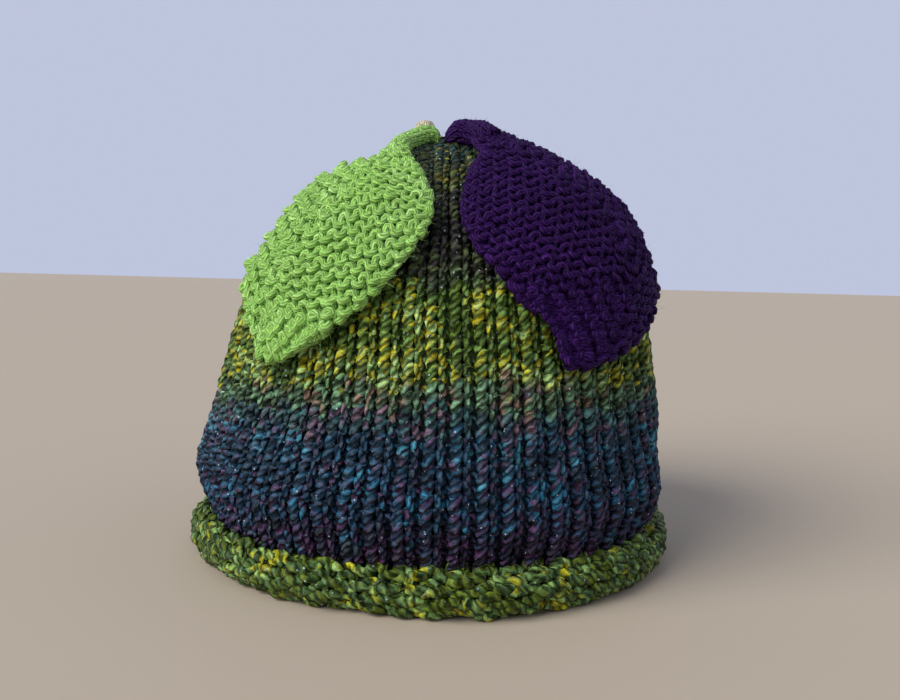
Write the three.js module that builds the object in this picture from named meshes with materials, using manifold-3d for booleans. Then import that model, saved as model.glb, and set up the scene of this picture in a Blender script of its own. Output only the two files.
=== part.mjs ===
// A hand-knitted tea cosy: a hollow stockinette dome with a rolled hem, a slit at each side for a
// teapot's spout and handle, two garter-stitch leaves that hang from the crown by their own stalks,
// and a small yarn knot behind them. Millimetres. X runs from the spout side (-) to the handle side
// (+), the front faces -Y, and the hem stands on Z = 0 with the origin under the middle.
import * as THREE from 'three';
import { mergeVertices } from 'three/addons/utils/BufferGeometryUtils.js';
import Module from 'manifold-3d';

const wasm = await Module();
wasm.setup();

// ---- Driving dimensions -------------------------------------------------------------------------
const hemWidth = 169; // across the rolled hem, spout side to handle side
const hemDepth = 154; // across the rolled hem, front to back
const rollDiameter = 16.6; // the hem's fat roll
const rollSink = 0.9; // how far the round section is pressed flat where it rests
const wall = 5.4; // thickness of the chunky knit
const leafThick = 3.6; // thickness of the garter-stitch leaves
const leafClear = 0.7; // how far a leaf lies off the dome
const stalkThick = 6; // the knitted cord that carries each leaf
const ridgeHeight = 0.35; // how far a garter ridge stands up on a leaf
const segments = 64; // steps round the dome
const crown = 141.5; // height of the gathered crown
const crownBend = 45; // height below the crown over which the wall turns from upright to level
const crownTuck = 0.25; // share of the wall's sideways thickness that is lost at the crown
const eye = new THREE.Vector3(0, 0, 60); // middle of the dome, that the leaves are laid out from

// Half-widths of the dome's outer face at each height: towards the spout, the handle, the front and
// the back. The first row is the crease above the rolled hem and the last one is the gathered crown.
const domeRows = [
  { z: 17.5, spout: 79.3, handle: 78.8, front: 72.5, back: 71.0 },
  { z: 29.0, spout: 82.5, handle: 81.8, front: 75.5, back: 74.0 },
  { z: 44.0, spout: 78.8, handle: 79.5, front: 75.0, back: 73.5 },
  { z: 60.0, spout: 74.8, handle: 77.0, front: 73.0, back: 71.0 },
  { z: 75.0, spout: 70.8, handle: 74.3, front: 69.5, back: 67.5 },
  { z: 90.0, spout: 65.5, handle: 70.5, front: 64.5, back: 62.5 },
  { z: 102.0, spout: 59.5, handle: 67.0, front: 58.5, back: 56.5 },
  { z: 113.0, spout: 51.0, handle: 60.0, front: 50.5, back: 48.5 },
  { z: 123.0, spout: 40.5, handle: 49.5, front: 40.0, back: 38.5 },
  { z: 131.0, spout: 29.0, handle: 36.5, front: 28.5, back: 27.5 },
  { z: 137.0, spout: 16.5, handle: 20.5, front: 16.0, back: 15.5 },
  { z: 140.5, spout: 6.0, handle: 7.0, front: 6.0, back: 6.0 },
  { z: crown, spout: 0, handle: 0, front: 0, back: 0 },
];

// Soft hollows (-) and swellings (+) of the cloth: where each one is, how far it spreads to either
// side in degrees and up and down in millimetres, and how deep it goes.
const hollows = [
  { turn: -14, z: 35, wide: 11, tall: 9, depth: -3.2 }, // drawn in round the handle's lower root
  { turn: 9, z: 46, wide: 8, tall: 8, depth: 2.2 }, // back edge pushed out above that root
  { turn: 196, z: 36, wide: 12, tall: 10, depth: 0.8 }, // fullness under the spout
  { turn: 228, z: 52, wide: 9, tall: 26, depth: -1.1 },
  { turn: 262, z: 34, wide: 13, tall: 16, depth: 0.8 },
  { turn: 303, z: 48, wide: 10, tall: 24, depth: -1.0 },
  { turn: 332, z: 30, wide: 10, tall: 12, depth: 0.9 },
  { turn: 60, z: 40, wide: 12, tall: 22, depth: -1.3 },
  { turn: 100, z: 58, wide: 16, tall: 26, depth: 0.9 },
  { turn: 138, z: 36, wide: 11, tall: 20, depth: -1.2 },
];
const puckers = 9; // gathers drawn together at the crown
const puckerDepth = 0.9;
const puckerTop = 138; // height where they are deepest
const puckerSpread = 9;

// Uneven run of the rolled hem: how many waves go round it, and how much each one moves its edge.
const hemWaves = [
  { count: 4, size: 0.55 },
  { count: 8, size: 0.4 },
  { count: 12, size: 0.3 },
];

const rollAngles = [58, 34, 10, -14, -40, -64, -116, -150, 180, 150]; // round the roll's tube

// The slits: which side, their lower and upper ends, and the widest gap between their edges.
const slits = [
  { side: -1, bottom: 32, top: 84, gap: 25 },
  { side: 1, bottom: 25, top: 104, gap: 15 },
];
const slitSteps = 10; // steps along one edge of a slit
const slitFullness = 0.8; // below 1 the slit's ends are blunter than a sine's
const slitStart = 40; // the cut runs from here outwards through the wall
const slitReach = 60;

// A leaf's sections from the crown to its tip. Each edge is given by its turn round the dome and its
// rise above the horizon, in degrees from the eye, and by how far it stands up off the cloth.
const greenSections = [
  { leftTurn: -246, leftRise: 88.6, rightTurn: -97, rightRise: 87.2, leftLift: 0, rightLift: 0 },
  { leftTurn: -184, leftRise: 85, rightTurn: -127, rightRise: 85.2, leftLift: 0, rightLift: 0 },
  { leftTurn: -149, leftRise: 78.6, rightTurn: -124, rightRise: 78.4, leftLift: 0, rightLift: 0 },
  { leftTurn: -134, leftRise: 70, rightTurn: -106, rightRise: 66, leftLift: 0, rightLift: 0 },
  { leftTurn: -133, leftRise: 65, rightTurn: -97, rightRise: 58, leftLift: 0, rightLift: 0.3 },
  { leftTurn: -151, leftRise: 62, rightTurn: -92, rightRise: 48, leftLift: 0, rightLift: 0.8 },
  { leftTurn: -163, leftRise: 56, rightTurn: -93, rightRise: 40, leftLift: 0.2, rightLift: 1.1 },
  { leftTurn: -158, leftRise: 49, rightTurn: -97, rightRise: 34, leftLift: 0.3, rightLift: 0.9 },
  { leftTurn: -155, leftRise: 41, rightTurn: -103, rightRise: 26, leftLift: 0.3, rightLift: 0.7 },
  { leftTurn: -154, leftRise: 34, rightTurn: -109, rightRise: 20, leftLift: 0.4, rightLift: 0.5 },
  { leftTurn: -156, leftRise: 27, rightTurn: -115, rightRise: 15, leftLift: 0.8, rightLift: 0.5 },
  { leftTurn: -145, leftRise: 18, rightTurn: -120, rightRise: 12, leftLift: 0.8, rightLift: 0.6 },
  { leftTurn: -138, leftRise: 12, rightTurn: -125, rightRise: 9, leftLift: 0.9, rightLift: 0.9 },
  { leftTurn: -133, leftRise: 7.5, rightTurn: -130, rightRise: 7, leftLift: 1.2, rightLift: 1.2 },
];
const purpleSections = [
  { leftTurn: -54, leftRise: 86.9, rightTurn: 47, rightRise: 87.7, leftLift: 0, rightLift: 0 },
  { leftTurn: -31, leftRise: 83.2, rightTurn: 9, rightRise: 83.8, leftLift: 0.6, rightLift: 1.2 },
  { leftTurn: -62, leftRise: 77, rightTurn: -8, rightRise: 77.5, leftLift: 0.5, rightLift: 1.5 },
  { leftTurn: -67, leftRise: 68, rightTurn: -17, rightRise: 73, leftLift: 0.3, rightLift: 1.8 },
  { leftTurn: -78, leftRise: 59, rightTurn: -17, rightRise: 67, leftLift: 0.3, rightLift: 2.0 },
  { leftTurn: -83, leftRise: 51, rightTurn: -14, rightRise: 58, leftLift: 0.6, rightLift: 3.0 },
  { leftTurn: -84, leftRise: 44, rightTurn: -13, rightRise: 50, leftLift: 0.9, rightLift: 3.6 },
  { leftTurn: -82, leftRise: 38, rightTurn: -11, rightRise: 42, leftLift: 0.9, rightLift: 3.4 },
  { leftTurn: -79, leftRise: 33, rightTurn: -11, rightRise: 35, leftLift: 0.8, rightLift: 2.4 },
  { leftTurn: -75, leftRise: 29, rightTurn: -11, rightRise: 28, leftLift: 0.7, rightLift: 1.8 },
  { leftTurn: -71, leftRise: 24, rightTurn: -12, rightRise: 23, leftLift: 0.6, rightLift: 1.8 },
  { leftTurn: -66, leftRise: 20, rightTurn: -24, rightRise: 18.5, leftLift: 0.5, rightLift: 1.0 },
  { leftTurn: -64, leftRise: 16, rightTurn: -33, rightRise: 14, leftLift: 0.6, rightLift: 0.8 },
  { leftTurn: -63, leftRise: 12, rightTurn: -45, rightRise: 10.5, leftLift: 0.8, rightLift: 0.8 },
  { leftTurn: -61.5, leftRise: 8.5, rightTurn: -56, rightRise: 7.5, leftLift: 1.1, rightLift: 1.1 },
];
const stalkSections = 3; // the first sections of a leaf are its round stalk
const ringPoints = 18; // points round one section of a leaf
const edgeFullness = 0.85; // below 1 a leaf's section is squarer than an ellipse at its edges
const stepsPerSection = 3;
const ridgeSteps = 2; // steps from one garter ridge to the next

// The knotted yarn end behind the stalks: where it sits on the crown, its size and its wraps.
const knot = { turn: 122, rise: 84, radius: 4, clear: 0.3, wraps: 3, twist: 2, relief: 0.08 };
const knotRings = 9;
const knotSides = 16;

// ---- Helpers ------------------------------------------------------------------------------------
const radians = THREE.MathUtils.degToRad;

/** Value of a table's column at a key, on a smooth curve through its rows. */
function columnAt(rows, key, column, at) {
  const last = rows.length - 1;
  let i = 0;
  while (i < last - 1 && at > rows[i + 1][key]) i += 1;
  const span = rows[i + 1][key] - rows[i][key];
  const t = THREE.MathUtils.clamp((at - rows[i][key]) / span, 0, 1);
  const slope = (k) => {
    const before = rows[Math.max(k - 1, 0)];
    const after = rows[Math.min(k + 1, last)];
    return ((after[column] - before[column]) / (after[key] - before[key])) * span;
  };
  const start = (1 + 2 * t) * (1 - t) ** 2 * rows[i][column] + t * (1 - t) ** 2 * slope(i);
  const end = t * t * (3 - 2 * t) * rows[i + 1][column] + t * t * (t - 1) * slope(i + 1);
  return start + end;
}

/** Smallest angle between two turns, in degrees. */
function turnBetween(a, b) {
  return ((((a - b) % 360) + 540) % 360) - 180;
}

/** How far the cloth stands out of the plain dome, or in (-), at a turn in degrees and a height. */
function unevenness(turn, z) {
  let out = 0;
  for (const hollow of hollows) {
    const across = turnBetween(turn, hollow.turn) / hollow.wide;
    const up = (z - hollow.z) / hollow.tall;
    out += hollow.depth * Math.exp(-across * across - up * up);
  }
  const gather = Math.exp(-(((z - puckerTop) / puckerSpread) ** 2));
  return out + puckerDepth * gather * Math.cos(puckers * radians(turn));
}

/** Point of the dome's face at a turn (degrees) and height, moved inwards by a depth. */
function domePoint(turn, z, depth = 0) {
  const angle = radians(turn);
  const sideways = columnAt(domeRows, 'z', Math.cos(angle) < 0 ? 'spout' : 'handle', z);
  const forward = columnAt(domeRows, 'z', Math.sin(angle) < 0 ? 'front' : 'back', z);
  const shrink = Math.min(sideways, forward);
  const change = THREE.MathUtils.clamp(unevenness(turn, z) - depth, -shrink, shrink);
  return new THREE.Vector3(
    (sideways + change) * Math.cos(angle),
    (forward + change) * Math.sin(angle),
    z,
  );
}

/** Closed skin over a list of rings, each a list of points; one-point rings are its two poles. */
function skin(rings) {
  const positions = [];
  const indices = [];
  const starts = rings.map((ring) => {
    const start = positions.length / 3;
    for (const point of ring) positions.push(point.x, point.y, point.z);
    return start;
  });
  for (let r = 0; r + 1 < rings.length; r += 1) {
    const count = Math.max(rings[r].length, rings[r + 1].length);
    const at = (ring, k) => starts[ring] + (k % count) % rings[ring].length;
    for (let k = 0; k < count; k += 1) {
      if (rings[r].length > 1) indices.push(at(r, k), at(r + 1, k), at(r, k + 1));
      if (rings[r + 1].length > 1) indices.push(at(r, k + 1), at(r + 1, k), at(r + 1, k + 1));
    }
  }
  const geometry = new THREE.BufferGeometry();
  geometry.setAttribute('position', new THREE.Float32BufferAttribute(positions, 3));
  geometry.setIndex(indices);
  return geometry;
}

/** A closed geometry as a solid that can be cut. */
function toSolid(geometry) {
  const bare = geometry.clone();
  bare.deleteAttribute('normal');
  bare.deleteAttribute('uv');
  const merged = mergeVertices(bare, 1e-4);
  return new wasm.Manifold(new wasm.Mesh({
    numProp: 3,
    vertProperties: new Float32Array(merged.attributes.position.array),
    triVerts: new Uint32Array(merged.index.array),
  }));
}

/** A cut solid as a geometry again. */
function toGeometry(solid) {
  const mesh = solid.getMesh();
  const geometry = new THREE.BufferGeometry();
  geometry.setAttribute('position', new THREE.BufferAttribute(mesh.vertProperties, 3));
  geometry.setIndex(new THREE.BufferAttribute(mesh.triVerts, 1));
  return geometry;
}

/** A named mesh of plain knitted cloth. */
function knitted(name, geometry, color, roughness) {
  geometry.computeVertexNormals();
  const material = new THREE.MeshStandardMaterial({ color, roughness, metalness: 0 });
  const mesh = new THREE.Mesh(geometry, material);
  mesh.name = name;
  return mesh;
}

// ---- The dome and its rolled hem ----------------------------------------------------------------

/** One ring of the dome for every turn, from a function of the turn. */
function ringOf(pointAt) {
  return Array.from({ length: segments }, (_, k) => pointAt((360 * k) / segments));
}

/** Point on the hem's roll, at an angle round its tube: 0 outwards, 90 up. */
function rollPoint(turn, tubeAngle) {
  const angle = radians(turn);
  const wave = hemWaves.reduce((sum, w) => sum + w.size * Math.sin(w.count * angle), 0);
  const radius = rollDiameter / 2;
  const out = wave + radius * (Math.cos(radians(tubeAngle)) - 1);
  const z = Math.max(0, radius * (1 + Math.sin(radians(tubeAngle))) - rollSink);
  return new THREE.Vector3(
    (hemWidth / 2 + out) * Math.cos(angle),
    (hemDepth / 2 + out) * Math.sin(angle),
    z,
  );
}

/** Heights of the dome's rings, from the crown down, with steps between each two rows. */
function domeHeights(stepsBetween) {
  const heights = [];
  for (let row = domeRows.length - 2; row > 0; row -= 1) {
    for (let step = 0; step < stepsBetween; step += 1) {
      const t = step / stepsBetween;
      heights.push(THREE.MathUtils.lerp(domeRows[row].z, domeRows[row - 1].z, t));
    }
  }
  heights.push(domeRows[0].z);
  return heights;
}

/** The inside of the wall: the outer face moved in and, near the crown, down by the wall. */
function innerPoint(turn, z) {
  const steep = THREE.MathUtils.smoothstep(z, crown - crownBend, crown);
  return domePoint(turn, z, wall * (1 - crownTuck * steep)).setZ(z - wall * steep);
}

/** The whole body before its slits are cut. */
function bodyGeometry() {
  const rings = [[new THREE.Vector3(0, 0, crown)]];
  for (const z of domeHeights(2)) rings.push(ringOf((turn) => domePoint(turn, z)));
  for (const tubeAngle of rollAngles) rings.push(ringOf((turn) => rollPoint(turn, tubeAngle)));
  for (const z of domeHeights(1).reverse()) {
    if (z < crown - wall / 2) rings.push(ringOf((turn) => innerPoint(turn, z)));
  }
  rings.push([new THREE.Vector3(0, 0, crown - wall)]);
  return skin(rings);
}

/** A prism through the wall with the lens-shaped outline of an open slit. */
function slitCutter({ side, bottom, top, gap }) {
  const outline = new THREE.Shape();
  const edge = (k) => (gap / 2) * Math.sin((Math.PI * k) / slitSteps) ** slitFullness;
  const height = (k) => THREE.MathUtils.lerp(bottom, top, k / slitSteps);
  outline.moveTo(0, bottom);
  for (let k = 1; k <= slitSteps; k += 1) outline.lineTo(edge(k), height(k));
  for (let k = slitSteps - 1; k > 0; k -= 1) outline.lineTo(-edge(k), height(k));
  const prism = new THREE.ExtrudeGeometry(outline, { depth: slitReach, bevelEnabled: false });
  prism.rotateX(Math.PI / 2);
  prism.rotateZ(Math.PI / 2);
  prism.translate(side > 0 ? slitStart : -slitStart - slitReach, 0, 0);
  return toSolid(prism);
}

/** The body: one piece of cloth, open below and at both slits. */
function makeBody() {
  let solid = toSolid(bodyGeometry());
  for (const slit of slits) solid = solid.subtract(slitCutter(slit));
  return knitted('body', toGeometry(solid), 0x4a5a46, 0.9);
}

// ---- The leaves ---------------------------------------------------------------------------------

/** Unit direction from the eye at a turn and a rise, in degrees. */
function direction(turn, rise) {
  const flat = Math.cos(radians(rise));
  return new THREE.Vector3(
    flat * Math.cos(radians(turn)),
    flat * Math.sin(radians(turn)),
    Math.sin(radians(rise)),
  );
}

/** Where a ray from the eye leaves the dome, found by halving. */
function domeReach(toward) {
  let near = 5;
  let far = 120;
  for (let k = 0; k < 36; k += 1) {
    const middle = (near + far) / 2;
    const point = toward.clone().multiplyScalar(middle).add(eye);
    const z = Math.min(point.z, crown - 0.1);
    const forward = point.y / columnAt(domeRows, 'z', point.y < 0 ? 'front' : 'back', z);
    const sideways = point.x / columnAt(domeRows, 'z', point.x < 0 ? 'spout' : 'handle', z);
    const face = domePoint(THREE.MathUtils.radToDeg(Math.atan2(forward, sideways)), z);
    const inside = point.z < crown && Math.hypot(point.x, point.y) < Math.hypot(face.x, face.y);
    if (inside) near = middle;
    else far = middle;
  }
  return near;
}

/** One closed ring round a leaf's section, from its edges' directions and lifts. */
function leafRing(row, thick, clear) {
  const left = direction(row.leftTurn, row.leftRise);
  const right = direction(row.rightTurn, row.rightRise);
  const ring = [];
  for (let k = 0; k < ringPoints; k += 1) {
    const angle = (2 * Math.PI * k) / ringPoints;
    const across = Math.sign(Math.cos(angle)) * Math.abs(Math.cos(angle)) ** edgeFullness;
    const share = (1 - across) / 2;
    const toward = left.clone().lerp(right, share).normalize();
    const lift = THREE.MathUtils.lerp(row.leftLift, row.rightLift, share);
    const height = clear + lift + (thick / 2) * (1 + Math.sin(angle));
    ring.push(toward.clone().multiplyScalar(domeReach(toward) + height).add(eye));
  }
  return ring;
}

/** A leaf and its stalk as one closed skin, with a garter ridge at every second step. */
function leafGeometry(sections) {
  const rows = sections.map((section, index) => ({ index, ...section }));
  const columns = Object.keys(sections[0]);
  const rings = [];
  const steps = (rows.length - 1) * stepsPerSection;
  for (let step = 0; step <= steps; step += 1) {
    const at = step / stepsPerSection;
    const row = Object.fromEntries(columns.map((c) => [c, columnAt(rows, 'index', c, at)]));
    const flat = THREE.MathUtils.smoothstep(at, stalkSections - 1, stalkSections + 1);
    const ridge = step % ridgeSteps === 0 ? ridgeHeight : -ridgeHeight;
    const thick = THREE.MathUtils.lerp(stalkThick, leafThick + ridge, flat);
    rings.push(leafRing(row, thick, leafClear));
  }
  const middle = (ring) => ring
    .reduce((sum, point) => sum.add(point), new THREE.Vector3())
    .divideScalar(ring.length);
  rings.unshift([middle(rings[0])]);
  rings.push([middle(rings[rings.length - 1])]);
  return skin(rings);
}

// ---- The crown knot -----------------------------------------------------------------------------

/** A ball of yarn wraps that sits on the crown. */
function knotGeometry() {
  const seat = direction(knot.turn, knot.rise);
  const centre = seat.clone().multiplyScalar(domeReach(seat) + knot.clear + knot.radius).add(eye);
  const pole = (side) => [centre.clone().add(new THREE.Vector3(0, 0, side * knot.radius))];
  const rings = [pole(1)];
  for (let r = 1; r < knotRings; r += 1) {
    const down = (Math.PI * r) / knotRings;
    rings.push(Array.from({ length: knotSides }, (_, k) => {
      const around = (2 * Math.PI * k) / knotSides;
      const wrapped = Math.cos(knot.wraps * around + knot.twist * down) * Math.sin(down);
      const radius = knot.radius * (1 + knot.relief * wrapped);
      const flat = radius * Math.sin(down);
      return new THREE.Vector3(
        centre.x + flat * Math.cos(around),
        centre.y + flat * Math.sin(around),
        centre.z + radius * Math.cos(down),
      );
    }));
  }
  rings.push(pole(-1));
  return skin(rings);
}

// ---- The part -----------------------------------------------------------------------------------
const cosy = new THREE.Group();
cosy.add(makeBody());
cosy.add(knitted('green_leaf', leafGeometry(greenSections), 0x78b046, 0.85));
cosy.add(knitted('purple_leaf', leafGeometry(purpleSections), 0x2d1450, 0.85));
cosy.add(knitted('crown_knot', knotGeometry(), 0xd8ccb0, 0.85));
export default cosy;
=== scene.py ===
"""Looks of a hand-knitted tea cosy: every row is a yarn of its own, laid on the cloth's shape.

Lengths inside the classes are millimetres in the row's frame, and meshes are written in metres.
Turns are degrees round the upright axis: 0 is the handle side (+X), -90 the front and 180 the
spout side. Laps go round the cloth: 0 to 1 is the front, from the spout's slit to the handle's,
and 1 to 2 the back.
"""

import logging
import math
from collections.abc import Callable
from dataclasses import dataclass, field
from enum import Enum

import bpy
import numpy as np
from mathutils import Matrix, Vector


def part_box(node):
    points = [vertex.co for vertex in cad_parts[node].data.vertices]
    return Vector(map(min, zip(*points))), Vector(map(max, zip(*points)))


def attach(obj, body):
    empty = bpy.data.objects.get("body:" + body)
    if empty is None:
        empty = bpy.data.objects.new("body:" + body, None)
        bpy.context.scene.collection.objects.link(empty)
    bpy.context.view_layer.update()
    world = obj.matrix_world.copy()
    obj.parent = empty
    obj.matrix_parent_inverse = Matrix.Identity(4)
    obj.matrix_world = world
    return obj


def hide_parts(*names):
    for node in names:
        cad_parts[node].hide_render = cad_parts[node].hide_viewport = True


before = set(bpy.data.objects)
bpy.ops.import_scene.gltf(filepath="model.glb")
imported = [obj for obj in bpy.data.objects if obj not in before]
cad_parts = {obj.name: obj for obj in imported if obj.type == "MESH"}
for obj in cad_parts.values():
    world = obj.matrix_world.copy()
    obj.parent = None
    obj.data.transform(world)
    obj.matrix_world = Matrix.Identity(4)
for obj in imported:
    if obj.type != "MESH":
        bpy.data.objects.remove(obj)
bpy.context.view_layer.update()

LOG = logging.getLogger("tea_cosy")
METRES = 0.001
SEED = 27
Surface = Callable[[np.ndarray, np.ndarray], np.ndarray]  # points at laps and distances

# ---- The cloth's shape --------------------------------------------------------------------------
CROWN, FOOT = 141.5, 13.0
# Height, then the half-widths towards the spout, the handle, the front and the back.
DOME_ROWS = np.array([
    (11.0, 77.2, 76.7, 70.6, 69.0),
    (17.5, 79.3, 78.8, 72.5, 71.0),
    (29.0, 82.5, 81.8, 75.5, 74.0),
    (44.0, 78.8, 79.5, 75.0, 73.5),
    (60.0, 74.8, 77.0, 73.0, 71.0),
    (75.0, 70.8, 74.3, 69.5, 67.5),
    (90.0, 65.5, 70.5, 64.5, 62.5),
    (102.0, 59.5, 67.0, 58.5, 56.5),
    (113.0, 51.0, 60.0, 50.5, 48.5),
    (123.0, 40.5, 49.5, 40.0, 38.5),
    (131.0, 29.0, 36.5, 28.5, 27.5),
    (137.0, 16.5, 20.5, 16.0, 15.5),
    (140.5, 6.0, 7.0, 6.0, 6.0),
    (CROWN, 0.0, 0.0, 0.0, 0.0),
])
TO_SPOUT, TO_HANDLE, TO_FRONT, TO_BACK = 1, 2, 3, 4  # columns of DOME_ROWS
NEAR_CROWN = 5.5  # height under the crown in which the dome's table gets finer
# Soft hollows (-) and swellings (+): turn, height, spread in degrees, spread in height, depth.
HOLLOWS = np.array([
    (-14, 35, 11, 9, -3.2),
    (9, 46, 8, 8, 2.2),
    (196, 36, 12, 10, 0.8),
    (228, 52, 9, 26, -1.1),
    (262, 34, 13, 16, 0.8),
    (303, 48, 10, 24, -1.0),
    (332, 30, 10, 12, 0.9),
    (60, 40, 12, 22, -1.3),
    (100, 58, 16, 26, 0.9),
    (138, 36, 11, 20, -1.2),
])
PUCKERS, PUCKER_DEPTH, PUCKER_TOP, PUCKER_SPREAD = 9, 0.9, 138.0, 9.0
HEM_WIDTH, HEM_DEPTH, ROLL_RADIUS, ROLL_SINK = 169.0, 154.0, 8.3, 0.9
HEM_WAVES = ((4, 0.55), (8, 0.4), (12, 0.3))
EYE = np.array([0.0, 0.0, 60.0])  # the point in the hollow that the leaves are laid out from
NEAREST, FARTHEST, HALVINGS = 5.0, 120.0, 32  # search for the face from the eye
TIP = 0.1  # height under the crown where that search stops


def curve_through(keys: np.ndarray, values: np.ndarray, at: np.ndarray) -> np.ndarray:
    """A smooth curve through a table: cubic spans whose slopes are the neighbours' differences.

    Args:
        keys: the rows' keys, rising.
        values: one value a row.
        at: where the curve is wanted.

    Returns:
        The curve's values, in the shape of ``at``.
    """
    slopes = np.empty(len(values))
    slopes[1:-1] = (values[2:] - values[:-2]) / (keys[2:] - keys[:-2])
    slopes[0] = (values[1] - values[0]) / (keys[1] - keys[0])
    slopes[-1] = (values[-1] - values[-2]) / (keys[-1] - keys[-2])
    i = np.clip(np.searchsorted(keys, at, side="right") - 1, 0, len(keys) - 2)
    span = keys[i + 1] - keys[i]
    t = np.clip((at - keys[i]) / span, 0.0, 1.0)
    start = (1 + 2 * t) * (1 - t) ** 2 * values[i] + t * (1 - t) ** 2 * slopes[i] * span
    end = t * t * (3 - 2 * t) * values[i + 1] + t * t * (t - 1) * slopes[i + 1] * span
    return start + end


def half_widths(z: np.ndarray) -> list:
    """The dome's half-widths at each height, towards its spout, handle, front and back."""
    columns = (TO_SPOUT, TO_HANDLE, TO_FRONT, TO_BACK)
    return [curve_through(DOME_ROWS[:, 0], DOME_ROWS[:, column], z) for column in columns]


def unit(vectors: np.ndarray) -> np.ndarray:
    """Vectors scaled to length 1."""
    return vectors / np.maximum(np.linalg.norm(vectors, axis=-1, keepdims=True), 1e-9)


def square_to(vectors: np.ndarray, along: np.ndarray) -> np.ndarray:
    """Unit vectors square to a unit direction: v - along (v . along), scaled to length 1."""
    return unit(vectors - along * np.sum(vectors * along, axis=1, keepdims=True))


def steps_of(path: np.ndarray) -> np.ndarray:
    """Lengths of a path's steps."""
    return np.linalg.norm(np.diff(path, axis=0), axis=1)


def summed(steps: np.ndarray) -> np.ndarray:
    """Distance from the start before each step and after the last."""
    return np.concatenate([[0.0], np.cumsum(steps)])


@dataclass(frozen=True)
class Slit:
    """A lens-shaped opening in the cloth, its half gap a blunted sine between its two ends."""

    bottom: float
    top: float
    gap: float
    fullness: float = 0.8
    shut: float = 1.5  # length at each end over which the rows still meet

    def half_gap(self, z: np.ndarray) -> np.ndarray:
        """Half the gap at each height: gap / 2 times sin(pi k) to the fullness, 0 outside it."""
        k = np.clip((z - self.bottom) / (self.top - self.bottom), 0.0, 1.0)
        return self.gap / 2 * np.sin(np.pi * k) ** self.fullness

    def crosses(self, z: float) -> bool:
        """Whether the slit parts the cloth at this height."""
        return self.bottom + self.shut < z < self.top - self.shut


SPOUT_SLIT = Slit(bottom=32.0, top=84.0, gap=25.0)
HANDLE_SLIT = Slit(bottom=25.0, top=104.0, gap=15.0)


class Dome:
    """The dome of the cosy: where its cloth lies at each lap round it and each height."""

    pull = 4  # the power by which a slit's push on the cloth fades away from it
    widest = 0.9  # sine of the widest half turn that a slit may take

    def __init__(self) -> None:
        """Tabulates the distance up the cloth from the crease above the hem."""
        rising = np.linspace(FOOT, CROWN - NEAR_CROWN, 160)
        z = np.concatenate([rising, CROWN - np.geomspace(NEAR_CROWN, 1e-3, 80)])
        wide = sum(half_widths(z)) / 4
        self.heights = z
        self.distances = summed(np.hypot(np.diff(z), np.diff(wide)))
        self.length = float(self.distances[-1])

    def height_at(self, along: np.ndarray) -> np.ndarray:
        """Height at a distance up the cloth from the crease."""
        return np.interp(along, self.distances, self.heights)

    def face(self, turn: np.ndarray, z: np.ndarray) -> np.ndarray:
        """Points of the plain face: an ellipse at each height, made uneven by the hollows.

        Args:
            turn: degrees round the dome.
            z: heights.

        Returns:
            Points, one for each pair.
        """
        angle = np.radians(turn)
        spout, handle, front, back = half_widths(z)
        sideways = np.where(np.cos(angle) < 0, spout, handle)
        forward = np.where(np.sin(angle) < 0, front, back)
        out = PUCKER_DEPTH * np.exp(-(((z - PUCKER_TOP) / PUCKER_SPREAD) ** 2))
        out = out * np.cos(PUCKERS * angle)
        for at, height, spread, tall, depth in HOLLOWS:
            across = ((turn - at + 540) % 360 - 180) / spread
            out = out + depth * np.exp(-(across**2) - ((z - height) / tall) ** 2)
        least = np.minimum(sideways, forward)
        out = np.clip(out, -least, least)
        x, y = (sideways + out) * np.cos(angle), (forward + out) * np.sin(angle)
        return np.stack([x, y, z + 0 * x], axis=-1)

    def turn_at(self, lap: np.ndarray, z: np.ndarray) -> np.ndarray:
        """Turn at a lap: even steps round, pushed away from each slit by its half gap.

        Args:
            lap: laps round the cloth.
            z: heights.

        Returns:
            Degrees round the dome.
        """
        deep = curve_through(DOME_ROWS[:, 0], DOME_ROWS[:, TO_FRONT], z)

        def half_turn(slit: Slit) -> np.ndarray:
            """Half the slit's gap in degrees."""
            sine = slit.half_gap(z) / np.maximum(deep, 1)
            return np.degrees(np.arcsin(np.clip(sine, 0, self.widest)))

        spout, handle = half_turn(SPOUT_SLIT), half_turn(HANDLE_SLIT)
        lap = lap % 2
        share = lap % 1
        after, before = (1 - share) ** self.pull, share**self.pull
        front = -180 + 180 * share + spout * after - handle * before
        back = 180 * share + handle * after - spout * before
        return np.where(lap < 1, front, back)

    def cloth(self, lap: np.ndarray, along: np.ndarray) -> np.ndarray:
        """Points of the face at each lap and distance up the cloth."""
        z = self.height_at(along)
        return self.face(self.turn_at(lap, z), z)

    def reach(self, toward: np.ndarray) -> np.ndarray:
        """Distance from the eye to the face in each unit direction, found by halving.

        Args:
            toward: unit directions from the eye.

        Returns:
            The distance along each.
        """
        near, far = np.full(len(toward), NEAREST), np.full(len(toward), FARTHEST)
        for _ in range(HALVINGS):
            middle = (near + far) / 2
            point = toward * middle[:, None] + EYE
            z = np.minimum(point[:, 2], CROWN - TIP)
            spout, handle, front, back = half_widths(z)
            forward = point[:, 1] / np.where(point[:, 1] < 0, front, back)
            sideways = point[:, 0] / np.where(point[:, 0] < 0, spout, handle)
            face = self.face(np.degrees(np.arctan2(forward, sideways)), z)
            flat = np.hypot(point[:, 0], point[:, 1])
            inside = (point[:, 2] < CROWN) & (flat < np.hypot(face[:, 0], face[:, 1]))
            near, far = np.where(inside, middle, near), np.where(inside, far, middle)
        return near


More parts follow.
